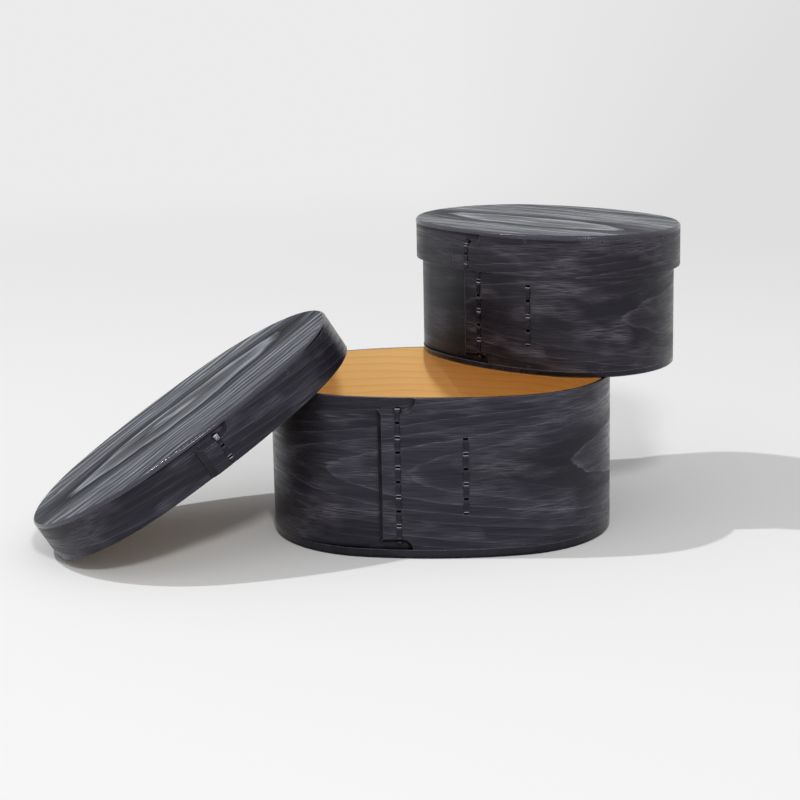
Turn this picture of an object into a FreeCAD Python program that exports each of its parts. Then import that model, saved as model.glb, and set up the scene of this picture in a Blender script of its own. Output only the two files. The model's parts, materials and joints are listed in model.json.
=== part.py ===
import FreeCAD, Part
import Sketcher
import math
import os
from FreeCAD import Placement, Rotation, Vector

# Two oval bentwood boxes that nest: a large one with its lid off and leaning, a small one closed on its rim.
# Millimetres, +Z up. The origin is the centre of the large box's underside, and +X runs along its length.

SIZES = [
    ("large_half_length", 120.0),
    ("large_half_width", 86.0),
    ("large_end_radius", 82.1),
    ("large_height", 110.6),
    ("large_base_thickness", 6.0),
    ("large_wall", 2.4),
    ("small_half_length", 99.0),
    ("small_half_width", 69.9),
    ("small_end_radius", 64.5),
    ("small_height", 93.05),
    ("small_base_thickness", 4.0),
    ("small_wall", 2.4),
    ("board_plug_height", 2.2),
    ("board_clearance", 0.05),
    ("base_edge_bevel", 0.6),
    ("lid_height", 29.2),
    ("lid_flange", 3.0),
    ("lid_plug_height", 3.2),
    ("lid_wall", 2.2),
    ("lid_overhang", 4.4),
    ("lid_edge_bevel", 1.2),
    ("lap_gap", 0.15),
    ("lap_merge_angle", 25.0),
    ("feather", 0.6),
    ("skive_lead", 12.0),
    ("lace_width", 3.2),
    ("lace_crest", 0.4),
    ("lace_flat", 0.5),
    ("lace_groove", 0.4),
    ("slot_height", 1.5),
    ("slot_clearance", 0.1),
    ("lace_dip", 0.15),
    ("lace_swell", 0.6),
    ("lace_shoulder", 0.4),
    ("lace_rise", 0.25),
    ("lace_tuck", 0.7),
    ("lace_fit", 0.02),
    ("lid_lace_groove", 0.5),
    ("peg_width", 1.8),
    ("peg_clearance", 0.03),
    ("peg_depth", 5.0),
    ("cut_margin", 2.0),
    ("rest_gap", 0.25),
    ("perch_direction", 54.8),
    ("perch_inset", 12.9),
    ("perch_turn", -41.24),
    ("lean_turn", 33.06),
    ("lean_pitch", -29.68),
    ("lean_roll", -12.13),
    ("lean_contact", 235.9),
    ("lean_overlap", 0.2),
    ("large_tongue_end", -41.6),
    ("large_lap_end", 22.0),
    ("large_end_bevel", 3.0),
    ("large_notch_bevel", 3.0),
    ("large_top_notch", 11.0),
    ("large_top_notch_x", -15.0),
    ("large_low_notch", 7.5),
    ("large_low_notch_x", -18.2),
    ("large_row_x", -28.1),
    ("large_row_first", 22.7),
    ("large_row_drop", 16.5),
    ("large_row_count", 8),
    ("large_inner_row_x", 17.3),
    ("large_inner_row_first", 31.0),
    ("large_inner_row_drop", 27.85),
    ("large_inner_row_count", 6),
    ("small_tongue_end", -20.6),
    ("small_lap_end", 41.0),
    ("small_end_bevel", 2.6),
    ("small_notch_bevel", 2.6),
    ("small_top_notch", 11.5),
    ("small_top_notch_x", 8.8),
    ("small_low_notch", 6.4),
    ("small_low_notch_x", 3.8),
    ("small_row_x", -5.0),
    ("small_row_first", 20.6),
    ("small_row_drop", 19.7),
    ("small_row_count", 6),
    ("small_inner_row_x", 36.6),
    ("small_inner_row_first", 20.6),
    ("small_inner_row_drop", 30.45),
    ("small_inner_row_count", 5),
    ("large_lid_tongue_end", -27.2),
    ("large_lid_lap_end", 7.5),
    ("large_lid_end_bevel", 4.8),
    ("large_lid_notch_bevel", 3.0),
    ("large_lid_notch", 7.5),
    ("large_lid_notch_x", 0.6),
    ("large_lid_row_x", -10.6),
    ("large_lid_row_first", 5.0),
    ("large_lid_row_drop", 12.1),
    ("large_lid_row_count", 2),
    ("small_lid_tongue_end", -29.0),
    ("small_lid_lap_end", 9.0),
    ("small_lid_end_bevel", 2.6),
    ("small_lid_notch_bevel", 3.2),
    ("small_lid_notch", 9.6),
    ("small_lid_notch_x", 1.5),
    ("small_lid_row_x", -12.9),
    ("small_lid_row_first", 5.0),
    ("small_lid_row_drop", 14.7),
    ("small_lid_row_count", 2),
]

# Directions of the outward normal, in degrees, at which a peg is driven. None is in the lap at the front left.
PEG_DIRECTIONS = [0, 45, 82, 98, 135, 180, 282, 318]

doc = FreeCAD.newDocument("oval_boxes")
sheet = doc.addObject("Spreadsheet::Sheet", "Sizes")
for row, (alias, value) in enumerate(SIZES, start=1):
    sheet.set("A%d" % row, alias)
    sheet.set("B%d" % row, str(value))
    sheet.setAlias("B%d" % row, alias)
doc.recompute()


def size(alias):
    return float(sheet.get(alias))


def side_radius(half_length, half_width, end_radius):
    """Radius of the long side arcs that meet the end arcs without a corner."""
    reach = half_length - end_radius
    return (reach ** 2 + half_width ** 2 - end_radius ** 2) / (2 * (half_width - end_radius))


class Oval:
    """Outline of four tangent arcs. An inset outline has the same four centres."""

    def __init__(self, name, outset=0.0):
        self.reach = size(name + "_half_length") - size(name + "_end_radius")
        self.end_radius = size(name + "_end_radius") + outset
        flat = side_radius(size(name + "_half_length"), size(name + "_half_width"), size(name + "_end_radius"))
        self.side_radius = flat + outset
        self.side_centre = flat - size(name + "_half_width")
        self.corner = math.degrees(math.atan2(self.side_centre, self.reach))

    def arc_at(self, direction):
        """Centre and radius of the arc whose outward normal has this direction in degrees."""
        turn = direction % 360
        if self.corner < turn < 180 - self.corner:
            return Vector(0, -self.side_centre, 0), self.side_radius
        if 180 + self.corner < turn < 360 - self.corner:
            return Vector(0, self.side_centre, 0), self.side_radius
        side = 1 if turn <= self.corner or turn >= 360 - self.corner else -1
        return Vector(side * self.reach, 0, 0), self.end_radius

    def point(self, direction, inset=0.0):
        centre, radius = self.arc_at(direction)
        return centre + (radius - inset) * unit(direction)

    def front_direction(self, x):
        """Direction of the outward normal at this x on the front side arc."""
        return 270 + math.degrees(math.asin(x / self.side_radius))

    def support(self, direction):
        """Distance of the tangent line with this outward normal from the centre."""
        return self.point(direction).dot(unit(direction))


def unit(direction):
    angle = math.radians(direction)
    return Vector(math.cos(angle), math.sin(angle), 0)


def arc(centre, radius, start, end):
    """Arc round centre between two directions in degrees, in the order given."""
    middle = (start + end) / 2
    points = [centre + radius * unit(turn) for turn in (start, middle, end)]
    return Part.Arc(*points).toShape()


def line(start, end):
    return Part.makeLine(start, end)


class Lap:
    """Plan of one bent strip: it runs round the oval and its inner end passes under its outer end."""

    def __init__(self, oval, name, wall):
        self.oval = oval
        self.name = name
        self.wall = wall
        self.under = wall + size("lap_gap")
        self.tongue = oval.front_direction(size(name + "_tongue_end"))
        self.end = oval.front_direction(size(name + "_lap_end"))
        self.skive_start = oval.front_direction(size(name + "_tongue_end") - size("skive_lead"))
        self.merge = 180 + size("lap_merge_angle")
        self.side = Vector(0, oval.side_centre, 0)
        self.side_radius = oval.side_radius - self.under
        merge_point = oval.point(self.merge)
        offset = merge_point - self.side
        inward = -1 * unit(self.merge)
        self.turn_radius = (self.side_radius ** 2 - offset.dot(offset)) / (
            2 * (self.side_radius + inward.dot(offset)))
        self.turn_centre = merge_point + self.turn_radius * inward
        away = self.turn_centre - self.side
        self.turn_end = math.degrees(math.atan2(away.y, away.x)) % 360

    def under_thickness(self, direction):
        """Thickness of the under layer, which thins from the skive's start to a feathered end."""
        share = (direction - self.skive_start) / (self.end - self.skive_start)
        share = min(max(share, 0.0), 1.0)
        return self.wall - share * (self.wall - size("feather"))

    def skive_point(self, direction, clearance=0.0):
        depth = self.under_thickness(direction) + clearance
        return self.side + (self.side_radius - depth) * unit(direction)

    def loop_arcs(self, inset, start, end):
        """Arcs of the oval at an inset, anticlockwise from start to end, both in degrees."""
        corner = self.oval.corner
        stops = [360 - corner, 360 + corner, 360 + 180 - corner, 360 + 180 + corner]
        turns = [start] + [stop for stop in stops if start < stop < end] + [end]
        edges = []
        for first, last in zip(turns, turns[1:]):
            centre, radius = self.oval.arc_at((first + last) / 2)
            edges.append(arc(centre, radius - inset, first, last))
        return edges

    def under_arcs(self, depth, last):
        """Arcs that carry the strip from the oval under the tongue, at a depth in its thickness."""
        return [
            arc(self.turn_centre, self.turn_radius - depth, self.merge, self.turn_end),
            arc(self.side, self.side_radius - depth, self.turn_end, last),
        ]

    def skive_edge(self, clearance=0.0):
        middle = (self.skive_start + self.end) / 2
        points = [self.skive_point(turn, clearance) for turn in (self.end, middle, self.skive_start)]
        return Part.Arc(*points).toShape()

    def strip_face(self):
        merge_turn = self.merge + 360
        outer = self.loop_arcs(0, self.tongue, merge_turn) + self.under_arcs(0, self.end)
        under_end = line(self.side + self.side_radius * unit(self.end), self.skive_point(self.end))
        inner = self.loop_arcs(self.wall, self.tongue, merge_turn)
        inner += self.under_arcs(self.wall, self.skive_start)
        tongue_end = line(self.oval.point(self.tongue, self.wall), self.oval.point(self.tongue))
        edges = outer + [under_end, self.skive_edge()] + inner + [tongue_end]
        return Part.Face(Part.Wire(Part.__sortEdges__(edges)))

    def plug_face(self):
        """Outline that fills the strip's inside with a clearance, stepped past the under layer's end."""
        clearance = size("board_clearance")
        step = self.end + math.degrees(2 * clearance / self.side_radius)
        inset = self.wall + clearance
        edges = self.loop_arcs(inset, step, self.merge + 360)
        edges += self.under_arcs(inset, self.skive_start)
        edges.append(self.skive_edge(clearance))
        edges.append(line(self.skive_point(self.end, clearance), self.oval.point(step, inset)))
        return Part.Face(Part.Wire(Part.__sortEdges__(edges)))


def front_frame(oval, x):
    """Placement on the front arc at x: local X along the wall, local Y up, local Z out of it."""
    direction = oval.front_direction(x)
    out = unit(direction)
    along = Vector(-out.y, out.x, 0)
    return Placement(oval.point(direction), Rotation(along, Vector(0, 0, 1), out, "ZXY"))


def slab(frame, low, high):
    """Box between two corners given in a frame."""
    box = Part.makeBox(high.x - low.x, high.y - low.y, high.z - low.z, low)
    box.Placement = frame.multiply(box.Placement)
    return box


def notch_profile(x_shift, height, radius, centre_x, rise, tongue_x, depth):
    """Wire of a quarter-round notch above the tongue. rise is 1 at the rim and -1 at the foot."""
    far = tongue_x - size("skive_lead") - x_shift
    base = height - rise * radius
    over = height + rise * size("cut_margin")
    middle = radius * math.sqrt(0.5)
    corners = [
        Vector(far, over, depth),
        Vector(far, base, depth),
        Vector(centre_x - x_shift, base, depth),
        Vector(centre_x - x_shift + radius, height, depth),
        Vector(centre_x - x_shift + radius, over, depth),
    ]
    round_edge = Part.Arc(
        corners[2], Vector(centre_x - x_shift + middle, height - rise * middle, depth), corners[3]).toShape()
    edges = [line(corners[0], corners[1]), line(corners[1], corners[2]), round_edge,
             line(corners[3], corners[4]), line(corners[4], corners[0])]
    return Part.Wire(edges)


def bevelled(profile, bevel, wall):
    """Cutter whose section shrinks by the bevel over the wall, as a ruled loft along local Z."""
    beyond = size("cut_margin")
    outside = profile(bevel * (1 + beyond / wall), beyond)
    inside = profile(-bevel * beyond / wall, -wall - beyond)
    return Part.makeLoft([outside, inside], True, True)


def tongue_cutter(lap, row_x, height_range, notches):
    """Removes the outer layer above and below the tongue and bevels the tongue's edges."""
    name = lap.name
    wall = lap.wall
    frame = front_frame(lap.oval, row_x)
    tongue_x = size(name + "_tongue_end")
    low, high = height_range
    margin = size("cut_margin")
    tools = []
    for height, radius, notch_x, rise in notches:
        bevel = size(name + "_notch_bevel")

        def profile(grow, depth, height=height, radius=radius, notch_x=notch_x, rise=rise, bevel=bevel):
            shrunk = radius - bevel + grow
            return notch_profile(row_x, height, shrunk, notch_x - radius, rise, tongue_x, depth)

        tools.append(bevelled(profile, bevel, wall))

    def end_profile(grow, depth):
        edge = tongue_x - row_x + grow
        back = edge - size("skive_lead")
        corners = [Vector(back, low - margin, depth), Vector(edge, low - margin, depth),
                   Vector(edge, high + margin, depth), Vector(back, high + margin, depth)]
        return Part.makePolygon(corners + corners[:1])

    tools.append(bevelled(end_profile, size(name + "_end_bevel"), wall))
    tool = tools[0].multiFuse(tools[1:])
    tool.Placement = frame
    start = lap.oval.front_direction(tongue_x - 4 * margin)
    stop = lap.oval.front_direction(max(notch[2] for notch in notches) + 4 * margin)
    depth = wall + size("lap_gap") / 2
    centre = Vector(0, lap.oval.side_centre, 0)
    near = lap.oval.side_radius + margin
    far = lap.oval.side_radius - depth
    ring = Part.Face(Part.Wire([
        arc(centre, near, start, stop),
        line(centre + near * unit(stop), centre + far * unit(stop)),
        arc(centre, far, stop, start),
        line(centre + far * unit(start), centre + near * unit(start)),
    ]))
    ring.translate(Vector(0, 0, low))
    return tool.common(ring.extrude(Vector(0, 0, high - low)))


def crown(start, end, crest):
    """Lace pulled over the wood: it rises out of one slot, lies flat, and dips into the next."""
    run = (end.y - start.y) * size("lace_flat") / 2
    middle = (start.y + end.y) / 2
    points = [start, Vector(0, middle - run, crest), Vector(0, middle + run, crest), end]
    return [line(first, last) for first, last in zip(points, points[1:])]


class StitchRow:
    """One row of lacing: slots through both layers, with a lace that shows on each side."""

    def __init__(self, lap, key, rim, top_leg=None, low_leg=None, edge_leg=False, inner_groove=0.0):
        self.lap = lap
        self.x = size(key + "_x")
        first = size(key + "_first")
        last = rim - size(key + "_drop")
        steps = int(size(key + "_count")) - 1
        self.slots = [first + (last - first) * step / steps for step in range(steps + 1)]
        self.top_leg = top_leg
        self.low_leg = low_leg
        self.edge_leg = edge_leg
        self.inner_groove = inner_groove
        self.frame = front_frame(lap.oval, self.x)
        direction = lap.oval.front_direction(self.x)
        self.depth = lap.under + lap.under_thickness(direction)
        self.half_leg = size("slot_height") / 2 - size("slot_clearance")
        self.edge_height = size("slot_height") / 2
        self.bevel = size(lap.name + "_notch_bevel")

    def heights(self):
        found = list(self.slots)
        if self.low_leg:
            found.insert(0, self.low_leg["height"])
        if self.edge_leg:
            found.insert(0, self.edge_height)
        if self.top_leg:
            found.append(self.top_leg["height"])
        return found

    def cutter(self):
        """Slots, with the shallow grooves that the lace lies in."""
        half_width = size("lace_width") / 2 + size("slot_clearance")
        half_slot = size("slot_height") / 2
        margin = size("cut_margin")
        heights = self.heights()
        pieces = []
        for height in heights:
            drop = margin if self.edge_leg and height == self.edge_height else 0.0
            pieces.append(slab(self.frame, Vector(-half_width, height - half_slot - drop, -self.depth - margin),
                               Vector(half_width, height + half_slot, margin)))
        low = heights[0] - half_slot
        high = heights[-1] + half_slot
        pieces.append(slab(self.frame, Vector(-half_width, low, -size("lace_groove")),
                           Vector(half_width, high, margin)))
        if self.inner_groove:
            pieces.append(slab(self.frame, Vector(-half_width, low, -self.depth - margin),
                               Vector(half_width, high, -self.depth + self.inner_groove)))
        return pieces[0].multiFuse(pieces[1:])

    def outside_edges(self, heights):
        """Crests of the lace between slots. Where it wraps a bevel it follows the slope down."""
        crest = size("lace_crest")
        dip = -size("lace_dip")
        shoulder_gap = size("lace_shoulder")
        tuck = size("lace_tuck") - self.lap.wall
        start = Vector(0, heights[0] - self.half_leg, dip)
        position = Vector(0, heights[0], dip)
        if self.low_leg:
            start.z = tuck
            position = Vector(0, self.low_leg["edge"] - shoulder_gap, size("lace_rise"))
        edges = [line(start, position)]
        for height in heights[1:-1] if self.top_leg else heights[1:]:
            target = Vector(0, height, dip)
            edges += crown(position, target, crest)
            position = target
        end = Vector(0, heights[-1] + self.half_leg, dip)
        if self.top_leg:
            shoulder = Vector(0, self.top_leg["edge"] + shoulder_gap, size("lace_rise"))
            edges += crown(position, shoulder, crest)
            position = shoulder
            end.z = tuck
        edges.append(line(position, end))
        return edges, start, end

    def inside_edges(self, heights, start, end):
        """Crests of the lace on the inner face, from the top leg back down to the lowest."""
        surface = -self.depth + self.inner_groove
        swell = surface - (self.inner_groove or size("lace_swell"))
        dip = surface - size("lace_dip")
        position = Vector(0, heights[-1] + self.half_leg, dip)
        edges = [line(end, position)]
        for height in reversed(heights[:-1]):
            target = Vector(0, height, dip)
            edges += crown(position, target, swell)
            position = target
        low = Vector(0, heights[0] - self.half_leg, dip)
        edges.append(line(position, low))
        edges.append(line(low, start))
        return edges

    def wood_faces(self, heights):
        """Sections of wood that the lace goes round, between each two slots."""
        outside = size("lace_fit") - size("lace_groove")
        inside = -self.depth + self.inner_groove - size("lace_dip") / 2
        slope = self.bevel * size("lace_groove") / self.lap.wall
        faces = []
        for index, (low, high) in enumerate(zip(heights, heights[1:])):
            low += self.half_leg
            high -= self.half_leg
            lower_corner = [Vector(0, low, outside)]
            upper_corner = [Vector(0, high, outside)]
            if self.low_leg and index == 0:
                lower_corner = [Vector(0, low, -self.lap.wall), Vector(0, self.low_leg["edge"] - slope, outside)]
            if self.top_leg and index == len(heights) - 2:
                upper_corner = [Vector(0, self.top_leg["edge"] + slope, outside), Vector(0, high, -self.lap.wall)]
            corners = [Vector(0, low, inside)] + lower_corner + upper_corner + [Vector(0, high, inside)]
            faces.append(Part.Face(Part.makePolygon(corners + corners[:1])))
        return faces

    def lace(self):
        heights = self.heights()
        outside, start, end = self.outside_edges(heights)
        inside = self.inside_edges(heights, start, end)
        section = Part.Face(Part.Wire(Part.__sortEdges__(outside + inside)))
        for wood in self.wood_faces(heights):
            section = section.cut(wood)
        half_width = size("lace_width") / 2
        section.translate(Vector(-half_width, 0, 0))
        solid = section.extrude(Vector(2 * half_width, 0, 0)).Solids[0]
        solid.Placement = self.frame.multiply(solid.Placement)
        return solid


def pegs(oval, wall, height, gap=0.0):
    """Square pegs driven through the band into a board's plug. gap widens them into holes."""
    outside = size("cut_margin") if gap else 0.0
    half_width = size("peg_width") / 2 + gap
    found = []
    for direction in PEG_DIRECTIONS:
        start = oval.point(direction)
        start.z = height
        inward = Placement(start, Rotation(Vector(0, 0, 1), direction + 180))
        found.append(slab(inward, Vector(-outside, -half_width, -half_width),
                          Vector(wall + size("peg_depth") + gap, half_width, half_width)))
    return Part.makeCompound(found)


def plain_feature(label, shape, placement):
    feature = doc.addObject("Part::Feature", label)
    feature.Label = label
    feature.Shape = shape
    feature.Placement = placement.multiply(shape.Placement)
    return feature


def oval_sketch(body, name, key, outset):
    """Fully constrained outline of four tangent arcs. outset is an expression in millimetres."""
    sketch = body.newObject("Sketcher::SketchObject", name)
    plane = [item for item in body.Origin.OriginFeatures if item.Role == "XY_Plane"][0]
    sketch.AttachmentSupport = [(plane, "")]
    sketch.MapMode = "FlatFace"
    oval = Oval(key)
    corner = math.radians(oval.corner)
    turns = [(-corner, corner), (corner, math.pi - corner),
             (math.pi - corner, math.pi + corner), (math.pi + corner, 2 * math.pi - corner)]
    for start, end in turns:
        centre, radius = oval.arc_at(math.degrees((start + end) / 2))
        circle = Part.Circle(centre, Vector(0, 0, 1), radius)
        sketch.addGeometry(Part.ArcOfCircle(circle, start, end), False)
    for index in range(4):
        sketch.addConstraint(Sketcher.Constraint("Tangent", index, 2, (index + 1) % 4, 1))
    sketch.addConstraint(Sketcher.Constraint("PointOnObject", 0, 3, -1))
    sketch.addConstraint(Sketcher.Constraint("Symmetric", 0, 3, 2, 3, -1, 1))
    sketch.addConstraint(Sketcher.Constraint("Equal", 0, 2))
    sketch.addConstraint(Sketcher.Constraint("Equal", 1, 3))
    reach = sketch.addConstraint(Sketcher.Constraint("DistanceX", -1, 1, 0, 3, oval.reach))
    ends = sketch.addConstraint(Sketcher.Constraint("Radius", 0, oval.end_radius))
    sides = sketch.addConstraint(Sketcher.Constraint("Radius", 1, oval.side_radius))
    names = {"a": "Sizes.%s_half_length" % key, "b": "Sizes.%s_half_width" % key,
             "r": "Sizes.%s_end_radius" % key}
    sketch.setExpression("Constraints[%d]" % reach, "{a} - {r}".format(**names))
    sketch.setExpression("Constraints[%d]" % ends, "{r} + {0}".format(outset, **names))
    flat = "(({a} - {r})^2 + {b}^2 - {r}^2) / (2 * ({b} - {r}))".format(**names)
    sketch.setExpression("Constraints[%d]" % sides, "%s + %s" % (flat, outset))
    return sketch


def flange_body(name, key, outset, thickness, bevel, at_top):
    """Board as a PartDesign body: an oval pad whose upper or lower edge is bevelled."""
    body = doc.addObject("PartDesign::Body", name)
    sketch = oval_sketch(body, name + "_outline", key, outset)
    pad = body.newObject("PartDesign::Pad", name + "_pad")
    pad.Profile = sketch
    pad.setExpression("Length", "Sizes." + thickness)
    doc.recompute()
    level = pad.Shape.BoundBox.ZMax if at_top else pad.Shape.BoundBox.ZMin
    edges = ["Edge%d" % (index + 1) for index, edge in enumerate(pad.Shape.Edges)
             if abs(edge.BoundBox.ZMin - level) < 1e-6 and abs(edge.BoundBox.ZMax - level) < 1e-6]
    chamfer = body.newObject("PartDesign::Chamfer", name + "_edge")
    chamfer.Base = (pad, edges)
    chamfer.setExpression("Size", "Sizes." + bevel)
    body.Tip = chamfer
    return body


def board(label, flange, plug_shape, holes_shape, placement):
    """Board made of a flange body and a fitted plug, bored for the pegs."""
    plug = plain_feature(label + "_plug", plug_shape, Placement())
    holes = plain_feature(label + "_holes", holes_shape, Placement())
    whole = doc.addObject("Part::MultiFuse", label + "_whole")
    whole.Shapes = [flange, plug]
    bored = doc.addObject("Part::Cut", label)
    bored.Label = label
    bored.Base = whole
    bored.Tool = holes
    bored.Placement = placement
    return bored


def lower(flange, height):
    """Puts a flange body at a height that is an expression."""
    flange.setExpression(".Placement.Base.z", height)


def box_parts(name, placement):
    """Band, base board, pegs and both lacing rows of one box."""
    oval = Oval(name)
    wall = size(name + "_wall")
    base = size(name + "_base_thickness")
    height = size(name + "_height")
    lap = Lap(oval, name, wall)
    bevel = size(name + "_notch_bevel")
    top_notch = size(name + "_top_notch")
    low_notch = size(name + "_low_notch")
    seat = size("slot_height") / 2
    top_leg = {"height": height - top_notch + bevel + seat, "edge": height - top_notch}
    low_leg = {"height": base + low_notch - bevel - seat, "edge": base + low_notch}
    main_row = StitchRow(lap, name + "_row", height, top_leg, low_leg)
    inner_row = StitchRow(lap, name + "_inner_row", height)
    band = lap.strip_face()
    band.translate(Vector(0, 0, base))
    band = band.extrude(Vector(0, 0, height - base))
    notches = [(height, top_notch, size(name + "_top_notch_x"), 1),
               (base, low_notch, size(name + "_low_notch_x"), -1)]
    margin = size("cut_margin")
    band = band.cut(tongue_cutter(lap, main_row.x, (base - margin, height + margin), notches))
    band = band.cut(main_row.cutter()).cut(inner_row.cutter())
    peg_height = base + size("board_plug_height") / 2
    holes = pegs(oval, wall, peg_height, size("peg_clearance"))
    band = band.cut(holes)
    plug = lap.plug_face()
    plug.translate(Vector(0, 0, base))
    plug = plug.extrude(Vector(0, 0, size("board_plug_height")))
    flange = flange_body(name + "_base_flange", name, "0", name + "_base_thickness", "base_edge_bevel", False)
    return [
        plain_feature(name + "_box_band", band, placement),
        board(name + "_base_board", flange, plug, holes, placement),
        plain_feature(name + "_base_pegs", pegs(oval, wall, peg_height), placement),
        plain_feature(name + "_main_lacing", main_row.lace(), placement),
        plain_feature(name + "_inner_lacing", inner_row.lace(), placement),
    ]


def lid_parts(name, placement):
    """Band, board, pegs and lacing of one lid. Its own origin is the middle of its open lower edge."""
    key = name + "_lid"
    oval = Oval(name, size("lid_overhang"))
    wall = size("lid_wall")
    top = size("lid_height") - size("lid_flange")
    lap = Lap(oval, key, wall)
    notch = size(key + "_notch")
    bevel = size(key + "_notch_bevel")
    top_leg = {"height": top - notch + bevel + size("slot_height") / 2, "edge": top - notch}
    row = StitchRow(lap, key + "_row", top, top_leg, edge_leg=True, inner_groove=size("lid_lace_groove"))
    band = lap.strip_face().extrude(Vector(0, 0, top))
    margin = size("cut_margin")
    band = band.cut(tongue_cutter(lap, row.x, (-margin, top + margin), [(top, notch, size(key + "_notch_x"), 1)]))
    band = band.cut(row.cutter())
    peg_height = top - size("lid_plug_height") / 2
    holes = pegs(oval, wall, peg_height, size("peg_clearance"))
    band = band.cut(holes)
    plug = lap.plug_face()
    plug.translate(Vector(0, 0, top - size("lid_plug_height")))
    plug = plug.extrude(Vector(0, 0, size("lid_plug_height")))
    flange = flange_body(key + "_flange", name, "Sizes.lid_overhang", "lid_flange", "lid_edge_bevel", True)
    lower(flange, "(Sizes.lid_height - Sizes.lid_flange) * 1 mm")
    return [
        plain_feature(key + "_band", band, placement),
        board(key + "_board", flange, plug, holes, placement),
        plain_feature(key + "_pegs", pegs(oval, wall, peg_height), placement),
        plain_feature(key + "_lacing", row.lace(), placement),
    ]


def perch_placement():
    """The small box stands across the large box's rim, its centre a little inside that rim."""
    spot = Oval("large").point(size("perch_direction"), size("perch_inset"))
    spot.z = size("large_height") + size("rest_gap")
    return Placement(spot, Rotation(Vector(0, 0, 1), size("perch_turn")))


def lean_placement():
    """The large lid leans: its lower edge meets the floor and, at the front left, the box's rim."""
    turn = Rotation(size("lean_turn"), size("lean_pitch"), size("lean_roll"))
    edge = Oval("large", size("lid_overhang"))
    down = turn.inverted().multVec(Vector(0, 0, -1))
    reach = edge.support(math.degrees(math.atan2(down.y, down.x)))
    height = reach * math.hypot(down.x, down.y)
    rim_level = size("large_height") + size("rest_gap") - size("lean_overlap")
    low = 270
    high = 360
    for _ in range(60):
        direction = (low + high) / 2
        crossing = turn.multVec(edge.point(direction, size("lid_wall")))
        if crossing.z + height < rim_level:
            low = direction
        else:
            high = direction
    seat = Oval("large").point(size("lean_contact"))
    return Placement(Vector(seat.x - crossing.x, seat.y - crossing.y, height), turn)


def seated_lid_placement(perch):
    """The small lid sits on the small box: its board rests on the rim."""
    underside = size("lid_height") - size("lid_flange") - size("lid_plug_height")
    rise = size("small_height") + size("rest_gap") - underside
    return perch.multiply(Placement(Vector(0, 0, rise), Rotation()))


perch = perch_placement()
parts = box_parts("large", Placement())
parts += lid_parts("large", lean_placement())
parts += box_parts("small", perch)
parts += lid_parts("small", seated_lid_placement(perch))
doc.recompute()

for item in doc.Objects:
    if "Invalid" in item.State or "Error" in item.State:
        raise RuntimeError("%s failed" % item.Label)
for part in parts:
    if part.Shape.isNull() or not part.Shape.isValid():
        raise RuntimeError("%s has a bad shape" % part.Label)

os.makedirs("parts", exist_ok=True)
for part in parts:
    part.Shape.exportStep("parts/%s.step" % part.Label)
    print(part.Label, "solids", len(part.Shape.Solids), "volume", round(part.Shape.Volume, 1))
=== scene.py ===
# A nesting pair of oval bentwood boxes, stained black outside and lacquered amber inside. The large one
# stands open with its lid leaning on it, and the small one stands closed across its rim. Lengths are in
# metres, in the row frame.

import json
import math

import bmesh
import bpy
from mathutils import Euler, Matrix, Vector

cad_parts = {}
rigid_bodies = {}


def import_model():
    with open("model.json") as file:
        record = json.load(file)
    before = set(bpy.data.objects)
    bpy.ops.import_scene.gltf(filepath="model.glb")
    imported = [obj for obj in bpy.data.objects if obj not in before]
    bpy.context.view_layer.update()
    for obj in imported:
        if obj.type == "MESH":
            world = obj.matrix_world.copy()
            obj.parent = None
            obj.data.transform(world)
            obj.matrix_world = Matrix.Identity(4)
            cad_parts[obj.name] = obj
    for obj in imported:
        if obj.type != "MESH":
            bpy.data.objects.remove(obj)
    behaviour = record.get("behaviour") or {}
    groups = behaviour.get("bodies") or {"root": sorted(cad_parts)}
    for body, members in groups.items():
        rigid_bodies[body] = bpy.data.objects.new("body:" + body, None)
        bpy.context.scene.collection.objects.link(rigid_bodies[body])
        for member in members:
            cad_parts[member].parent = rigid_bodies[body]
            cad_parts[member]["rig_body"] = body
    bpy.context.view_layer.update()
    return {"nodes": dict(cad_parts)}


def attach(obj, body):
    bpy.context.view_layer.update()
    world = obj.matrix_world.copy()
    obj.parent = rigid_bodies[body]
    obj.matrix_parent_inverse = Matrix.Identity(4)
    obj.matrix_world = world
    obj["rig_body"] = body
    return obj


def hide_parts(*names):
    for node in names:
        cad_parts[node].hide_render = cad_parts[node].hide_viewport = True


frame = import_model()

nodes = frame["nodes"]


# The studio: a wide sheet of white paper that runs back out of sight, a small hard lamp high on the left, a
# broader one high in front that looks into the open box, and a pale sky, brightest behind the camera, that
# fills the shadows. The camera stands in front, a little above the boxes, with a long lens.

def linear(colour):
    """Turns an sRGB hex value into linear red, green, blue and alpha, by the sRGB curve."""
    channels = [int(colour[place:place + 2], 16) / 255 for place in (1, 3, 5)]
    return [value / 12.92 if value <= 0.04045 else ((value + 0.055) / 1.055) ** 2.4
            for value in channels] + [1.0]


def add(tree, kind, inputs=None, stops=None, **settings):
    """Adds one shader node, with its settings, its input values or links, and its colour stops."""
    node = tree.nodes.new(kind)
    for name, value in settings.items():
        setattr(node, name, value)
    for socket, value in (inputs or {}).items():
        if isinstance(value, bpy.types.NodeSocket):
            tree.links.new(value, node.inputs[socket])
        else:
            node.inputs[socket].default_value = value
    if stops:
        ramp = node.color_ramp
        while len(ramp.elements) < len(stops):
            ramp.elements.new(0.5)
        for element, (place, colour) in zip(ramp.elements, stops):
            element.position = place
            element.color = linear(colour)
    return node


def new_material(name):
    """Makes an empty material, and returns it with its node tree."""
    material = bpy.data.materials.new(name)
    material.use_nodes = True
    material.node_tree.nodes.clear()
    return material, material.node_tree


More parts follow.
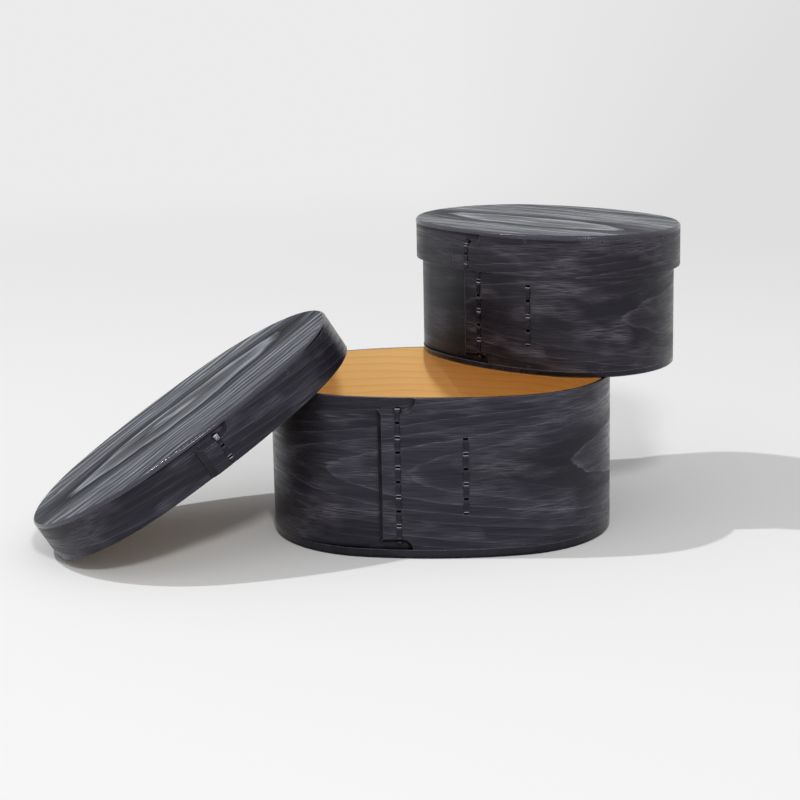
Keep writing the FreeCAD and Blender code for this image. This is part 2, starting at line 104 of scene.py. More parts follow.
# The paper lies just under the boxes, so that their undersides stay clear of it.
FLOOR_RADIUS = 90.0
FLOOR_SIDES = 96
FLOOR_DROP = 0.0002
bpy.ops.mesh.primitive_circle_add(vertices=FLOOR_SIDES, radius=FLOOR_RADIUS, fill_type="NGON",
                                  location=(0, 0, -FLOOR_DROP))
floor = bpy.context.object
floor.name = "studio_floor"

# Matt white paper has no gloss and takes soft shadows. Between these two distances it turns into its own even
# glow, as the camera, gloss and glass see it, and the glow dims from one heading to the other.
PAPER_FADE = (0.5, 2.4)
PAPER_HEADING = (-0.02, 0.20)
PAPER_GLOW = (0.835, 0.74)
material, tree = new_material("matt_white_paper_floor")
path = add(tree, "ShaderNodeLightPath")
looks = add(tree, "ShaderNodeMath", {0: path.outputs["Is Camera Ray"], 1: path.outputs["Is Glossy Ray"]},
            operation="ADD")
looks = add(tree, "ShaderNodeMath", {0: looks.outputs[0], 1: path.outputs["Is Transmission Ray"]},
            operation="ADD", use_clamp=True)
place = add(tree, "ShaderNodeTexCoord")
distance = add(tree, "ShaderNodeVectorMath", {0: place.outputs["Object"]}, operation="LENGTH")
far = add(tree, "ShaderNodeMapRange", {"Value": distance.outputs["Value"], "From Min": PAPER_FADE[0],
                                       "From Max": PAPER_FADE[1]}, interpolation_type="SMOOTHSTEP")
far = add(tree, "ShaderNodeMath", {0: far.outputs[0], 1: looks.outputs[0]}, operation="MULTIPLY")
heading = add(tree, "ShaderNodeVectorMath", {0: place.outputs["Object"]}, operation="NORMALIZE")
heading = add(tree, "ShaderNodeSeparateXYZ", {"Vector": heading.outputs[0]})
tone = add(tree, "ShaderNodeMapRange", {"Value": heading.outputs["X"], "From Min": PAPER_HEADING[0],
                                        "From Max": PAPER_HEADING[1], "To Min": PAPER_GLOW[0],
                                        "To Max": PAPER_GLOW[1]})
paper = add(tree, "ShaderNodeBsdfDiffuse", {"Color": linear("#ebebeb")})
backdrop = add(tree, "ShaderNodeEmission", {"Color": linear("#ffffff"), "Strength": tone.outputs[0]})
paper = add(tree, "ShaderNodeMixShader", {0: far.outputs[0], 1: paper.outputs[0], 2: backdrop.outputs[0]})
add(tree, "ShaderNodeOutputMaterial", {"Surface": paper.outputs[0]})
floor.data.materials.append(material)

# The sky fills the shadows more from the camera's side and less from the far side, by the share of the lean.
# What the camera, gloss and glass see of it is even.
SKY_FILL = 0.53
SKY_LEAN = 0.5
SKY_SEEN = 0.81
world = bpy.data.worlds.new("studio_sky")
bpy.context.scene.world = world
world.use_nodes = True
tree = world.node_tree
tree.nodes.clear()
path = add(tree, "ShaderNodeLightPath")
seen = add(tree, "ShaderNodeMath", {0: path.outputs["Is Camera Ray"], 1: path.outputs["Is Glossy Ray"]},
           operation="ADD")
seen = add(tree, "ShaderNodeMath", {0: seen.outputs[0], 1: path.outputs["Is Transmission Ray"]},
           operation="ADD", use_clamp=True)
heading = add(tree, "ShaderNodeTexCoord")
heading = add(tree, "ShaderNodeSeparateXYZ", {"Vector": heading.outputs["Generated"]})
fill = add(tree, "ShaderNodeMapRange", {"Value": heading.outputs["Y"], "From Min": -1.0, "From Max": 1.0,
                                        "To Min": SKY_FILL * (1 + SKY_LEAN),
                                        "To Max": SKY_FILL * (1 - SKY_LEAN)})
strength = add(tree, "ShaderNodeMapRange", {"Value": seen.outputs[0], "To Min": fill.outputs[0],
                                            "To Max": SKY_SEEN})
sky = add(tree, "ShaderNodeBackground", {"Color": linear("#ffffff"), "Strength": strength.outputs[0]})
add(tree, "ShaderNodeOutputWorld", {"Surface": sky.outputs[0]})

# Each lamp's name, place, power and radius. Studio lamps stand far off, so that their light hardly fades
# across a table. These stand nearer, and their falloff is taken away instead.
LAMPS = [("hard_key_lamp", (-1.098, -0.076, 1.582), 15.8, 0.02),
         ("front_fill_lamp", (0.110, -1.259, 1.061), 13.0, 0.10)]
for name, place, power, radius in LAMPS:
    lamp_data = bpy.data.lights.new(name, "POINT")
    lamp_data.energy = power
    lamp_data.shadow_soft_size = radius
    lamp_data.use_nodes = True
    tree = lamp_data.node_tree
    tree.nodes.clear()
    even = add(tree, "ShaderNodeLightFalloff", {"Strength": 1.0})
    even = add(tree, "ShaderNodeEmission", {"Strength": even.outputs["Constant"]})
    add(tree, "ShaderNodeOutputLight", {"Surface": even.outputs[0]})
    lamp = bpy.data.objects.new(name, lamp_data)
    lamp.location = place
    bpy.context.scene.collection.objects.link(lamp)

# The camera's place and turns, in metres and radians. The focal length, and how far the picture's centre
# lies from the lens axis, are in pixels of the square picture.
CAMERA_PLACE = Vector((0.0132, -1.2299, 0.3812))
CAMERA_YAW = 0.030
CAMERA_PITCH = 0.188
CAMERA_ROLL = 0.019
FOCAL_PIXELS = 1775.2
CENTRE_SHIFT = (5.5, -79.4)
PICTURE = 800
SENSOR = 36.0
camera_data = bpy.data.cameras.new("camera")
camera_data.sensor_width = SENSOR
camera_data.lens = FOCAL_PIXELS / PICTURE * SENSOR
camera_data.shift_x = -CENTRE_SHIFT[0] / PICTURE
camera_data.shift_y = CENTRE_SHIFT[1] / PICTURE
camera = bpy.data.objects.new("camera", camera_data)
camera.matrix_world = (
    Matrix.Translation(CAMERA_PLACE)
    @ Matrix.Rotation(CAMERA_YAW, 4, "Z")
    @ Matrix.Rotation(math.pi / 2 - CAMERA_PITCH, 4, "X")
    @ Matrix.Rotation(-CAMERA_ROLL, 4, "Z")
)
bpy.context.scene.collection.objects.link(camera)
bpy.context.scene.camera = camera
bpy.context.scene.view_settings.view_transform = "Standard"


# The wood of every piece is a light flat-sawn softwood. Outside it is stained black and rubbed back, so that
# the pores hold the stain and the raised grain shows grey. Its arrises show grey too, partly rubbed and
# partly a painted highlight, and its crevices carry painted shade. Inside it has only clear lacquer.

MM = 0.001

# How often the rings drift off their course and ripple, in waves per mm along and across the grain, and how
# far they ripple, as a share of their spacing.
DRIFT_WAVES = (0.010, 0.020, 1)
RIPPLE_WAVES = (0.03, 0.12, 1)
RIPPLE_START = (3.1, 5.7, 0)
RIPPLE_SHARE = 0.45


def growth_rings(tree, along, across, spacing, slope=0.0, taper=0.0, pith=28.0, middle=0.0, wander=9.0,
                 phase=0.0):
    """Ring number of a flat-sawn board, from distances in mm along and across the grain. The board lies pith
    mm from the tree's middle line, which runs at middle mm across the board. Slope tilts straight grain,
    taper closes the rings into flames, wander is how far they drift, and phase moves them."""
    flow = add(tree, "ShaderNodeCombineXYZ", {"X": along, "Y": across})
    drift = add(tree, "ShaderNodeMapping", {"Vector": flow.outputs[0], "Scale": DRIFT_WAVES})
    drift = add(tree, "ShaderNodeTexNoise", {"Vector": drift.outputs[0], "Scale": 1.0, "Detail": 3.0,
                                             "Roughness": 0.45})
    drift = add(tree, "ShaderNodeMath", {0: drift.outputs[0], 1: 0.5}, operation="SUBTRACT")
    offset = add(tree, "ShaderNodeMath", {0: drift.outputs[0], 1: wander, 2: across},
                 operation="MULTIPLY_ADD")
    offset = add(tree, "ShaderNodeMath", {0: offset.outputs[0], 1: middle}, operation="SUBTRACT")
    closing = add(tree, "ShaderNodeMath", {0: along, 1: taper}, operation="MULTIPLY")
    radius = add(tree, "ShaderNodeCombineXYZ", {"X": offset.outputs[0], "Y": closing.outputs[0], "Z": pith})
    radius = add(tree, "ShaderNodeVectorMath", {0: radius.outputs[0]}, operation="LENGTH").outputs["Value"]
    radius = add(tree, "ShaderNodeMath", {0: along, 1: slope, 2: radius}, operation="MULTIPLY_ADD")
    ripple = add(tree, "ShaderNodeMapping", {"Vector": flow.outputs[0], "Scale": RIPPLE_WAVES,
                                             "Location": RIPPLE_START})
    ripple = add(tree, "ShaderNodeTexNoise", {"Vector": ripple.outputs[0], "Scale": 1.0, "Detail": 3.0})
    radius = add(tree, "ShaderNodeMath", {0: ripple.outputs[0], 1: spacing * RIPPLE_SHARE,
                                          2: radius.outputs[0]}, operation="MULTIPLY_ADD")
    radius = add(tree, "ShaderNodeMath", {0: radius.outputs[0], 1: phase}, operation="ADD")
    return add(tree, "ShaderNodeMath", {0: radius.outputs[0], 1: spacing}, operation="DIVIDE").outputs[0]


def fibres(tree, along, across, width, length, detail=5.0):
    """Streaks along the grain, a given width and length in mm."""
    flow = add(tree, "ShaderNodeCombineXYZ", {"X": along, "Y": across})
    flow = add(tree, "ShaderNodeMapping", {"Vector": flow.outputs[0], "Scale": (1 / length, 1 / width, 1)})
    return add(tree, "ShaderNodeTexNoise", {"Vector": flow.outputs[0], "Scale": 1.0, "Detail": detail,
                                            "Roughness": 0.62}).outputs[0]


def grain_axes(tree, own=None):
    """Distances in mm along and across the grain, from a strip's UV map or from a board's own axes."""
    place = add(tree, "ShaderNodeTexCoord")
    if own is None:
        split = add(tree, "ShaderNodeSeparateXYZ", {"Vector": place.outputs["UV"]})
    else:
        turn = own.inverted()
        mapping = add(tree, "ShaderNodeMapping", {"Vector": place.outputs["Object"],
                                                  "Location": turn.to_translation(),
                                                  "Rotation": turn.to_euler()})
        split = add(tree, "ShaderNodeSeparateXYZ", {"Vector": mapping.outputs[0]})
    return [add(tree, "ShaderNodeMath", {0: split.outputs[axis], 1: 1 / MM}, operation="MULTIPLY").outputs[0]
            for axis in ("X", "Y")]


# A Mix node's two colour inputs and its colour output, by number, because its sockets share their names.
MIX_A, MIX_B, MIX_RESULT = 6, 7, 2

# How strongly the rings stand out of the rubbed wood, against its fibres, and the part of a rubbed place's
# reach that is rubbed in full.
RING_RELIEF = 0.4
RUBBED_CORE = 0.3


def black_stained(name, own=None, rings=None, tones=None, gloss=(0.24, 0.50), rub=0.5, streak=(0.25, 2.1),
                  shine=0.34, grain=(0.75, 30.0), rubbed_and_shaded=None, relief=0.4, arris=0.0006):
    """Softwood under black stain and satin wax. The stain sits in the soft early wood. The raised late wood
    is rubbed to thin grey lines, with grey scuffs, and takes a cool sheen from the wax. Its arrises are pale,
    partly rubbed and partly a painted highlight, and its crevices are painted darker, as shade, in colour and
    in shine. Gloss is the roughness where the wood is rubbed and where it isn't. Grain is the width and
    length of its fibres in mm, and streak is how dark and how light they are. The rubbed place is given by
    its middle and its reach in mm along the grain, and by the share of tone that is left outside it, which
    paints shade there."""
    material, tree = new_material(name)
    along, across = grain_axes(tree, own)
    ring = growth_rings(tree, along, across, **rings)
    part = add(tree, "ShaderNodeMath", {0: ring}, operation="FRACT")
    tone = add(tree, "ShaderNodeValToRGB", {"Fac": part.outputs[0]}, stops=tones)
    count = add(tree, "ShaderNodeMath", {0: ring}, operation="FLOOR")
    lot = add(tree, "ShaderNodeTexWhiteNoise", {"W": count.outputs[0]}, noise_dimensions="1D")
    lot = add(tree, "ShaderNodeMapRange", {"Value": lot.outputs["Value"], "To Min": 0.35, "To Max": 1.25})
    fine = fibres(tree, along, across, *grain)
    broad = fibres(tree, along, across, width=5.0, length=90.0, detail=3.0)
    shade = add(tree, "ShaderNodeMapRange", {"Value": fine, "From Min": 0.32, "From Max": 0.68,
                                             "To Min": streak[0], "To Max": streak[1]})
    cloud = add(tree, "ShaderNodeMapRange", {"Value": broad, "From Min": 0.3, "From Max": 0.7,
                                             "To Min": 0.45, "To Max": 1.5})
    shade = add(tree, "ShaderNodeMath", {0: shade.outputs[0], 1: cloud.outputs[0]}, operation="MULTIPLY")
    shade = add(tree, "ShaderNodeMath", {0: shade.outputs[0], 1: lot.outputs[0]}, operation="MULTIPLY")
    # Away from the rubbed place the scuffs fade and the tone is painted darker, as shade.
    middle, reach, painted_shade_beyond = rubbed_and_shaded or (0.0, 0.0, 1.0)
    rub_and_painted_shade = add(tree, "ShaderNodeMath", {0: along, 1: middle}, operation="SUBTRACT")
    rub_and_painted_shade = add(tree, "ShaderNodeMath", {0: rub_and_painted_shade.outputs[0]}, operation="ABSOLUTE")
    rub_and_painted_shade = add(tree, "ShaderNodeMapRange", {"Value": rub_and_painted_shade.outputs[0], "From Min": reach,
                                               "From Max": reach * RUBBED_CORE, "To Min": painted_shade_beyond},
                  interpolation_type="SMOOTHSTEP")
    shade = add(tree, "ShaderNodeMath", {0: shade.outputs[0], 1: rub_and_painted_shade.outputs[0]}, operation="MULTIPLY")
    colour = add(tree, "ShaderNodeVectorMath", {0: tone.outputs[0], "Scale": shade.outputs[0]},
                 operation="SCALE")
    patch = fibres(tree, along, across, width=20.0, length=48.0, detail=2.0)
    patch = add(tree, "ShaderNodeMapRange", {"Value": patch, "From Min": 0.47, "From Max": 0.68})
    scratch = fibres(tree, along, across, width=0.6, length=13.0, detail=6.0)
    scratch = add(tree, "ShaderNodeMapRange", {"Value": scratch, "From Min": 0.42, "From Max": 0.76,
                                               "To Max": rub})
    scuff = add(tree, "ShaderNodeMath", {0: patch.outputs[0], 1: scratch.outputs[0]}, operation="MULTIPLY")
    scuff = add(tree, "ShaderNodeMath", {0: scuff.outputs[0], 1: rub_and_painted_shade.outputs[0]}, operation="MULTIPLY")
    # Pale arrises: the edges are mixed towards grey with the scuffs, partly rubbed pale and partly a painted
    # highlight.
    soft = add(tree, "ShaderNodeBevel", {"Radius": arris}, samples=4)
    true = add(tree, "ShaderNodeNewGeometry")
    edge = add(tree, "ShaderNodeVectorMath", {0: soft.outputs[0], 1: true.outputs["Normal"]},
               operation="DOT_PRODUCT")
    edge = add(tree, "ShaderNodeMapRange", {"Value": edge.outputs["Value"], "From Min": 0.985,
                                            "From Max": 0.86, "To Max": 1.0})
    wear_and_painted_highlight = add(tree, "ShaderNodeMath", {0: edge.outputs[0], 1: fine}, operation="MULTIPLY")
    wear_and_painted_highlight = add(tree, "ShaderNodeMath", {0: wear_and_painted_highlight.outputs[0], 1: scuff.outputs[0]}, operation="MAXIMUM")
    colour = add(tree, "ShaderNodeMix", {"Factor": wear_and_painted_highlight.outputs[0], MIX_A: colour.outputs[0],
                                         MIX_B: linear("#85818a")}, data_type="RGBA")
    # Painted shade: the colour is darkened in crevices, slots and along steps, where shade falls, and the
    # wax's shine is dimmed with it.
    painted_crevice_shade = add(tree, "ShaderNodeAmbientOcclusion", {"Distance": 0.003}, samples=4)
    painted_crevice_shade = add(tree, "ShaderNodeMapRange", {"Value": painted_crevice_shade.outputs["AO"], "From Min": 0.45, "From Max": 0.95})
    colour = add(tree, "ShaderNodeVectorMath", {0: colour.outputs[MIX_RESULT], "Scale": painted_crevice_shade.outputs[0]},
                 operation="SCALE")
    wax = add(tree, "ShaderNodeMath", {0: painted_crevice_shade.outputs[0], 1: shine}, operation="MULTIPLY")
    sheen = add(tree, "ShaderNodeMapRange", {"Value": shade.outputs[0], "From Min": 0.1, "From Max": 1.3,
                                             "To Min": gloss[1], "To Max": gloss[0]})
    height = add(tree, "ShaderNodeMath", {0: part.outputs[0], 1: RING_RELIEF, 2: fine},
                 operation="MULTIPLY_ADD")
    bump = add(tree, "ShaderNodeBump", {"Height": height.outputs[0], "Strength": relief, "Distance": 0.0003,
                                        "Normal": soft.outputs[0]})
    wood = add(tree, "ShaderNodeBsdfPrincipled", {"Base Color": colour.outputs[0],
                                                  "Roughness": sheen.outputs[0], "IOR": 1.5,
                                                  "Specular IOR Level": wax.outputs[0],
                                                  "Specular Tint": linear("#ebe7ff"),
                                                  "Normal": bump.outputs[0]})
    add(tree, "ShaderNodeOutputMaterial", {"Surface": wood.outputs[0]})
    return material


def amber_lacquered(name, own=None, tones=("#fed994", "#fdd48d", "#fac982")):
    """Bare softwood under clear lacquer: warm amber, faint brown growth lines and a soft shine."""
    material, tree = new_material(name)
    along, across = grain_axes(tree, own)
    ring = growth_rings(tree, along, across, spacing=5.0, slope=-0.05)
    part = add(tree, "ShaderNodeMath", {0: ring}, operation="FRACT")
    tone = add(tree, "ShaderNodeValToRGB", {"Fac": part.outputs[0]},
               stops=[(0.0, tones[0]), (0.6, tones[1]), (0.9, tones[2]), (1.0, tones[0])])
    streak = fibres(tree, along, across, width=1.2, length=40.0)
    shade = add(tree, "ShaderNodeMapRange", {"Value": streak, "From Min": 0.3, "From Max": 0.7,
                                             "To Min": 0.95, "To Max": 1.03})
    colour = add(tree, "ShaderNodeVectorMath", {0: tone.outputs[0], "Scale": shade.outputs[0]},
                 operation="SCALE")
    bump = add(tree, "ShaderNodeBump", {"Height": streak, "Strength": 0.1, "Distance": 0.0002})
    wood = add(tree, "ShaderNodeBsdfPrincipled", {"Base Color": colour.outputs[0], "Roughness": 0.38,
                                                  "IOR": 1.5, "Normal": bump.outputs[0]})
    add(tree, "ShaderNodeOutputMaterial", {"Surface": wood.outputs[0]})
    return material


# The large box: a strip of wood steamed and bent round an oval board, its outer end pulled over the inner one
# and laced down. The strip's outer end is bevelled and has a quarter-round notch above and below.

def own_axes(centre, turn):
    """Matrix of a piece's own axes: its origin, and its turns about Z, Y and X in degrees."""
    yaw, pitch, roll = (math.radians(angle) for angle in turn)
    return Matrix.Translation(centre) @ Euler((roll, pitch, yaw), "XYZ").to_matrix().to_4x4()


# Points nearer than the weld are one, faces within the flat angle are one, edges under the crease angle are
# smooth, and those over the arris angle are rounded in the given steps.
WELD = 1e-6
FLAT_ANGLE = math.radians(1)
CREASE_ANGLE = math.radians(28)
ARRIS_ANGLE = math.radians(30)
ARRIS_STEPS = 3


def merged_copy(name, node_name, materials, rounding=0.0):
    """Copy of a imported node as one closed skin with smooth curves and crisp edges, in its place."""
    node = nodes[node_name]
    mesh = bpy.data.meshes.new(name)
    skin = bmesh.new()
    skin.from_mesh(node.data)
    bmesh.ops.remove_doubles(skin, verts=skin.verts, dist=WELD)
    bmesh.ops.dissolve_degenerate(skin, edges=skin.edges, dist=WELD)
    if rounding:
        bmesh.ops.dissolve_limit(skin, angle_limit=FLAT_ANGLE, verts=skin.verts, edges=skin.edges)
    for face in skin.faces:
        face.smooth = True
        face.material_index = 0
    for edge in skin.edges:
        edge.smooth = len(edge.link_faces) == 2 and edge.calc_face_angle(0) < CREASE_ANGLE
    skin.to_mesh(mesh)
    skin.free()
    piece = bpy.data.objects.new(name, mesh)
    bpy.context.scene.collection.objects.link(piece)
    for material in materials:
        mesh.materials.append(material)
    if rounding:
        rounded = piece.modifiers.new("rounded_arris", "BEVEL")
        rounded.limit_method = "ANGLE"
        rounded.angle_limit = ARRIS_ANGLE
        rounded.width = rounding
        rounded.segments = ARRIS_STEPS
    smooth = piece.modifiers.new("even_normals", "WEIGHTED_NORMAL")
    smooth.keep_sharp = True
    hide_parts(node_name)
    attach(piece, node.get("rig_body"))
    return piece


# The tongue's end lies a little inside the oval's half width. Its lap is shorter than this turn in radians,
# and a face that lies deeper than the wall there, with a little to spare, is on the strip's inner end.
TONGUE_DEPTH = 0.97
LAP_TURN = 0.75
WALL_SLACK = 1.02


def unroll_strip(piece, own, half_length, half_width, tongue_x, wall):
    """Gives a bent strip a UV map in metres, along and across its grain, from its outer end round to its
    inner end."""
    mesh = piece.data
    uv = mesh.uv_layers.new(name="strip")
    inverse = own.inverted()
    squash = half_length / half_width
    tongue = math.atan2(-half_width * squash * TONGUE_DEPTH, tongue_x)
    mean_radius = (half_length + half_width) / 2
    for polygon in mesh.polygons:
        centre = inverse @ polygon.center
        depth = 1 - math.hypot(centre.x / half_length, centre.y / half_width)
        middle = (math.atan2(centre.y * squash, centre.x) - tongue) % (2 * math.pi)
        under = 2 * math.pi if middle < LAP_TURN and depth * half_width > wall * WALL_SLACK else 0.0
        for loop in polygon.loop_indices:
            point = inverse @ mesh.vertices[mesh.loops[loop].vertex_index].co
            turn = (math.atan2(point.y * squash, point.x) - tongue) % (2 * math.pi)
            turn += 2 * math.pi * round((middle - turn) / (2 * math.pi))
            uv.data[loop].uv = ((turn + under) * mean_radius, point.z)


# How far a face looks along the way out of the band: 1 straight out, and -1 straight in.
LOOKS_IN = -0.5
LOOKS_ASIDE = (0.2, 0.955)
OVAL_SQUASH = 0.55


def lacquer_inside(piece, own):
    """Gives the second material to the faces of a band that look in towards its middle."""
    inverse = own.inverted()
    turn = inverse.to_3x3()
    for polygon in piece.data.polygons:
        centre = inverse @ polygon.center
        outward = Vector((centre.x, centre.y, 0)).normalized()
        if (turn @ polygon.normal).dot(outward) < LOOKS_IN:
            polygon.material_index = 1


def darken_cuts(piece, own):
    """Gives the third material to the sloping faces of a band's outer end: a darker black, partly because end
    grain drinks more stain and partly as painted shade. The way straight out of an oval leans towards its
    width, so its length counts for less."""
    inverse = own.inverted()
    turn = inverse.to_3x3()
    for polygon in piece.data.polygons:
        centre = inverse @ polygon.center
        outward = Vector((centre.x * OVAL_SQUASH, centre.y, 0)).normalized()
        facing = (turn @ polygon.normal).dot(outward)
        if LOOKS_ASIDE[0] < facing < LOOKS_ASIDE[1]:
            polygon.material_index = 2


LARGE_AXES = own_axes((0, 0, 0), (0, 0, 0))
LARGE_HALF = (0.120, 0.086)
LARGE_TONGUE_X = -0.0416
BOX_WALL = 0.0024

# The strip is sawn well to one side of the tree's middle, so its rings run along it as thin grey lines that
# close into a flame here and there. It is a little greyer at the front right, where hands take hold of it,
# and away from there its tone is painted slightly darker, as shade. Its cut end is painted the darkest place,
# partly because end grain drinks the stain and partly as painted shade. Inside, the lacquer shows the wood's
# own warm colour.
STRIP_TONES = [(0.0, "#1c1b21"), (0.5, "#1d1c22"), (0.86, "#24232a"), (0.97, "#3a3941"), (1.0, "#1c1b21")]
CUT_TONES = [(0.0, "#0b0b0e"), (0.5, "#101014"), (1.0, "#0b0b0e")]
band_black = black_stained("black_stained_bent_strip",
                           rings={"spacing": 5.0, "slope": -0.1, "middle": 60.0, "phase": 2.3},
                           tones=STRIP_TONES, rub=0.6, rubbed_and_shaded=(125.0, 90.0, 0.88))
band_amber = amber_lacquered("amber_lacquered_bent_strip")
# The cut ends' darker black is partly stain and partly painted shade.
cut_black = black_stained("black_stained_end_grain_and_painted_shade", rings={"spacing": 5.0}, tones=CUT_TONES,
                          gloss=(0.34, 0.5), rub=0.15, streak=(0.5, 1.5))
large_band = merged_copy("large_box_wall", "large_box_band", [band_black, band_amber, cut_black])
unroll_strip(large_band, LARGE_AXES, *LARGE_HALF, LARGE_TONGUE_X, BOX_WALL)
lacquer_inside(large_band, LARGE_AXES)
darken_cuts(large_band, LARGE_AXES)


# A face is flat when it looks at least this much straight up or down, and a level is met within this much.
FLAT_FACING = 0.9
LEVEL_SLACK = 0.001


def finish_board(piece, own, direction, inner_level):
    """Gives the second material to the flat faces at the level of the board's inner side, which looks up or
    down as direction says, and the third to the board's edge."""
    inverse = own.inverted()
    turn = inverse.to_3x3()
    for polygon in piece.data.polygons:
        level = (inverse @ polygon.center).z
        facing = (turn @ polygon.normal).z
        if facing * direction > FLAT_FACING and abs(level - inner_level) < LEVEL_SLACK:
            polygon.material_index = 1
        elif abs(facing) < FLAT_FACING:
            polygon.material_index = 2


# The base board is flat-sawn, so its rings close into wide flames. Its edge is pared smooth and waxed, and
# gleams a little more than its faces.
LARGE_FLOOR_LEVEL = 0.0082
BASE_RINGS = {"spacing": 7.0, "taper": 0.1, "pith": 10.0}
EDGE_TONES = [(0.0, "#17171b"), (0.5, "#1c1b20"), (1.0, "#17171b")]
board_black = black_stained("black_stained_large_base", LARGE_AXES, BASE_RINGS, STRIP_TONES)
board_amber = amber_lacquered("amber_lacquered_large_base", LARGE_AXES)
cut_board = black_stained("black_stained_board_edge", LARGE_AXES, {"spacing": 9.0}, EDGE_TONES,
                          gloss=(0.13, 0.24), rub=0.0, streak=(0.8, 1.2))
large_base = merged_copy("large_box_floor", "large_base_board", [board_black, board_amber, cut_board])
finish_board(large_base, LARGE_AXES, 1, LARGE_FLOOR_LEVEL)


# The large lid: a low band laced like the box, with a thick oval board let into it and pegged. It leans from
# the floor up against the box's left end.

LARGE_LID_AXES = own_axes((-0.16617, -0.02793, 0.06442), (33.06, -29.68, -12.13))
LID_OVERHANG = 0.0044
LID_WALL = 0.0022
LID_UNDER_LEVEL = 0.023
LID_ROUNDING = 0.0008
LARGE_LID_TONGUE_X = -0.0272
large_lid_half = [half + LID_OVERHANG for half in LARGE_HALF]

# The lid's board is flat-sawn near the tree's middle, and shows long flames: broad grey late wood between
# thin black lines, and dull, because little wax is left on it. Its rounded edge is burnished by handling, and
# carries a bright line of the key lamp. The lacquer under this lid has darkened more than the box's.
LID_TONES = [(0.0, "#070709"), (0.07, "#24262b"), (0.40, "#3b3f46"), (0.82, "#7b808a"), (0.90, "#474b53"),
             (0.94, "#060608"), (1.0, "#060608")]
lid_top = black_stained("black_stained_large_lid_board", LARGE_LID_AXES,
                        {"spacing": 8.5, "taper": 0.24, "pith": 22.0, "middle": 10.0, "wander": 34.0},
                        LID_TONES, gloss=(0.36, 0.9), rub=0.3, streak=(0.3, 1.75), shine=0.25,
                        grain=(1.5, 85.0))
lid_rim = black_stained("black_stained_lid_edge", LARGE_LID_AXES, {"spacing": 9.0}, EDGE_TONES,
                        gloss=(0.2, 0.26), rub=0.0, streak=(0.95, 1.05), shine=1.0, relief=0.02, arris=0.0)
DEEP_AMBER = ("#9d8467", "#957c5f", "#866d50")
lid_under = amber_lacquered("amber_lacquered_large_lid_board", LARGE_LID_AXES, DEEP_AMBER)
lid_inside = amber_lacquered("amber_lacquered_large_lid_strip", None, DEEP_AMBER)
large_lid_board = merged_copy("large_lid_top", "large_lid_board", [lid_top, lid_under, lid_rim],
                              LID_ROUNDING)
finish_board(large_lid_board, LARGE_LID_AXES, -1, LID_UNDER_LEVEL)
large_lid_band = merged_copy("large_lid_wall", "large_lid_band", [band_black, lid_inside, cut_black])
unroll_strip(large_lid_band, LARGE_LID_AXES, *large_lid_half, LARGE_LID_TONGUE_X, LID_WALL)
lacquer_inside(large_lid_band, LARGE_LID_AXES)
darken_cuts(large_lid_band, LARGE_LID_AXES)


# The small box stands closed on the large one's rim, turned across it. It is made in the same way as the
# large one, of the same wood, and fits inside it with its lid on.

SMALL_AXES = own_axes((0.07776, 0.05654, 0.11085), (-41.24, 0, 0))
SMALL_HALF = (0.099, 0.0699)
SMALL_TONGUE_X = -0.0206
SMALL_FLOOR_LEVEL = 0.0062

# Its strip is stained blacker than the large one's, and handling has rubbed strong grey streaks into one side
# of it only. The rest of it is painted much darker, as shade.
SMALL_TONES = [(0.0, "#141215"), (0.5, "#161417"), (0.86, "#1c191d"), (0.97, "#2e2b30"), (1.0, "#141215")]
small_black = black_stained("black_stained_small_strip",
                            rings={"spacing": 5.0, "slope": -0.08, "middle": 40.0}, tones=SMALL_TONES,
                            gloss=(0.2, 0.44), rub=0.75, streak=(0.1, 2.9), rubbed_and_shaded=(85.0, 110.0, 0.38))
small_band = merged_copy("small_box_wall", "small_box_band", [small_black, band_amber, cut_black])
unroll_strip(small_band, SMALL_AXES, *SMALL_HALF, SMALL_TONGUE_X, BOX_WALL)
lacquer_inside(small_band, SMALL_AXES)
darken_cuts(small_band, SMALL_AXES)

# Its base board has the same flames as the large one's, and the lacquer inside is the same.
small_base_black = black_stained("black_stained_small_base", SMALL_AXES, BASE_RINGS, STRIP_TONES)
small_base_amber = amber_lacquered("amber_lacquered_small_base", SMALL_AXES)
small_base = merged_copy("small_box_floor", "small_base_board",
                         [small_base_black, small_base_amber, cut_board])
finish_board(small_base, SMALL_AXES, 1, SMALL_FLOOR_LEVEL)


# The small lid is seated on its box, so its heights are counted in the box's own axes, from the box's
# underside. Its board has finer flames than the large lid's and more wax left on it.

SMALL_LID_UNDER_LEVEL = 0.0933
SMALL_LID_TONGUE_X = -0.029
small_lid_half = [half + LID_OVERHANG for half in SMALL_HALF]
small_top = black_stained("black_stained_small_lid_board", SMALL_AXES,
                          {"spacing": 6.0, "taper": 0.2, "pith": 16.0, "middle": -14.0, "wander": 26.0},
                          LID_TONES, gloss=(0.26, 0.75), rub=0.3, streak=(0.3, 1.75), shine=0.42,
                          grain=(1.8, 85.0))
small_lid_board = merged_copy("small_lid_top", "small_lid_board", [small_top, small_base_amber, lid_rim],
                              LID_ROUNDING)
finish_board(small_lid_board, SMALL_AXES, -1, SMALL_LID_UNDER_LEVEL)
small_lid_band = merged_copy("small_lid_wall", "small_lid_band", [small_black, band_amber, cut_black])
unroll_strip(small_lid_band, SMALL_AXES, *small_lid_half, SMALL_LID_TONGUE_X, LID_WALL)
lacquer_inside(small_lid_band, SMALL_AXES)
darken_cuts(small_lid_band, SMALL_AXES)


# The lacing is a narrow strip of split root, stained with the box, that runs in and out through its slots
# and draws each strip's outer end down on the inner one.

# Waves of the root's fibres per metre, across it and along it.
ROOT_WAVES = (1800, 1800, 260)

